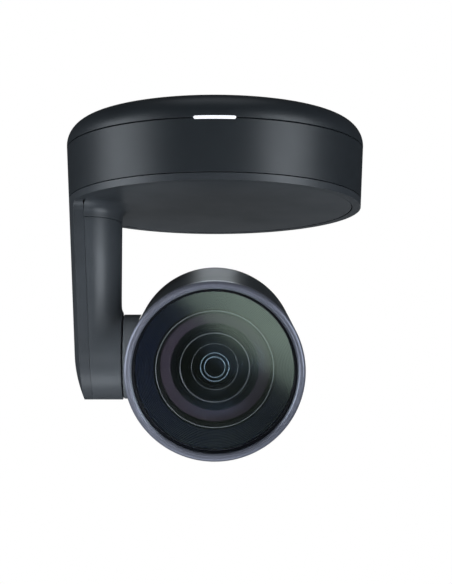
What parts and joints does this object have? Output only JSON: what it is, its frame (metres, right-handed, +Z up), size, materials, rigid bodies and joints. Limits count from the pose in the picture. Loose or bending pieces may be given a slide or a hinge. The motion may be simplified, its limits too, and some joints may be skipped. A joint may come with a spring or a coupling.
{
  "type": "ptz camera",
  "caption": "Ceiling-hung conference camera: a round drum, a turntable with one side arm, and a tilting zoom lens head with a wide glass front.",
  "frame": {"origin": "on the pan axis, at the drum's mounting face, where a bracket or a tripod screw meets it", "axes": "+Z up, out of the mounting face; -Y to the front, where the lens faces at rest; the arm is on the -X side"},
  "size_m": [0.1516, 0.1518, 0.1758],
  "materials": {
    "shell": "fine-grained satin charcoal",
    "cover": "fine-grained satin charcoal, slightly lighter",
    "bezel": "satin metallic grey",
    "black": "matt black",
    "rubber": "matt",
    "glass": "coated optical glass",
    "light": "lit white diffuser",
    "steel": "turned",
    "brass": "turned",
    "alloy": "as machined",
    "board": "solder mask",
    "acetal": "moulded"
  },
  "bodies": {
    "base": {"base_cap": "shell", "base_pad": "rubber", "tripod_insert": "brass", "base_band": "shell", "led_window": "light", "port_panel": "black", "power_jack": "black", "usb_c_port": "steel", "video_port": "steel", "port_board": "board", "main_board": "board", "standoff_1": "brass", "standoff_2": "brass", "standoff_3": "brass", "chassis_plate": "alloy", "pan_motor": "steel", "pan_bearing_outer": "steel"},
    "pan_pinion": {"pan_pinion": "acetal"},
    "pairing_button": {"pairing_button": "black"},
    "turntable": {"yoke_shell": "shell", "turntable_cover": "cover", "turntable_plate": "alloy", "pan_gear": "acetal", "pan_spindle": "steel", "pan_bearing_inner": "steel", "spindle_nut": "steel", "arm_cover": "cover", "arm_frame": "alloy", "tilt_bush": "brass", "tilt_motor": "steel", "tilt_belt": "rubber"},
    "tilt_motor_pulley": {"tilt_motor_pulley": "acetal"},
    "head": {"tilt_shaft": "steel", "tilt_pulley": "acetal", "tilt_hub": "shell", "barrel_shell": "shell", "rear_cap": "shell", "front_ring": "bezel", "front_window": "glass", "lens_baffle": "black", "lens_retainer": "steel", "lens_barrel": "black", "front_element": "glass", "second_element": "glass", "third_element": "glass", "iris_ring": "steel", "guide_rod_1": "steel", "guide_rod_2": "steel", "zoom_motor": "steel", "focus_motor": "steel", "image_sensor": "black", "sensor_board": "board", "heat_sink": "alloy", "head_frame": "alloy"},
    "zoom_group": {"zoom_carriage": "black", "zoom_lens": "glass"},
    "zoom_screw": {"zoom_screw": "steel"},
    "focus_group": {"focus_carriage": "black", "focus_lens": "glass"},
    "focus_screw": {"focus_screw": "steel"}
  },
  "joints": [
    {"name": "pan", "type": "hinge", "parent": "base", "child": "turntable", "pos_m": [0, 0, 0], "axis": [0, 0, 1], "range_deg": [-90, 90]},
    {"name": "pan_pinion_spin", "type": "hinge", "parent": "base", "child": "pan_pinion", "pos_m": [0.045, 0, -0.0358], "axis": [0, 0, 1], "range_deg": [-360, 360]},
    {"name": "tilt", "type": "hinge", "parent": "turntable", "child": "head", "pos_m": [0, 0, -0.1205], "axis": [1, 0, 0], "range_deg": [-104.6, 35.4]},
    {"name": "tilt_pulley_spin", "type": "hinge", "parent": "turntable", "child": "tilt_motor_pulley", "pos_m": [-0.0658, 0, -0.074], "axis": [1, 0, 0], "range_deg": [-251.1, 85]},
    {"name": "pairing_button_press", "type": "slide", "parent": "base", "child": "pairing_button", "axis": [0, -1, 0], "range_m": [0, 0.0008], "stiffness_N_per_m": 600},
    {"name": "zoom_travel", "type": "slide", "parent": "head", "child": "zoom_group", "axis": [0, -0.9677, -0.2521], "range_m": [-0.006, 0.006]},
    {"name": "zoom_screw_spin", "type": "hinge", "parent": "head", "child": "zoom_screw", "pos_m": [0, -0.00378, -0.10598], "axis": [0, -0.9677, -0.2521], "range_deg": [-1081, 1081]},
    {"name": "focus_travel", "type": "slide", "parent": "head", "child": "focus_group", "axis": [0, -0.9677, -0.2521], "range_m": [-0.0015, 0.0015]},
    {"name": "focus_screw_spin", "type": "hinge", "parent": "head", "child": "focus_screw", "pos_m": [0, 0.00378, -0.13502], "axis": [0, -0.9677, -0.2521], "range_deg": [-271, 271]}
  ],
  "couplings": [
    {"joint": "pan_pinion_spin", "follows": "pan", "ratio": -4},
    {"joint": "tilt_pulley_spin", "follows": "tilt", "ratio": 2.4},
    {"joint": "zoom_screw_spin", "follows": "zoom_travel", "rad_per_m": 3141.6},
    {"joint": "focus_screw_spin", "follows": "focus_travel", "rad_per_m": 3141.6}
  ]
}
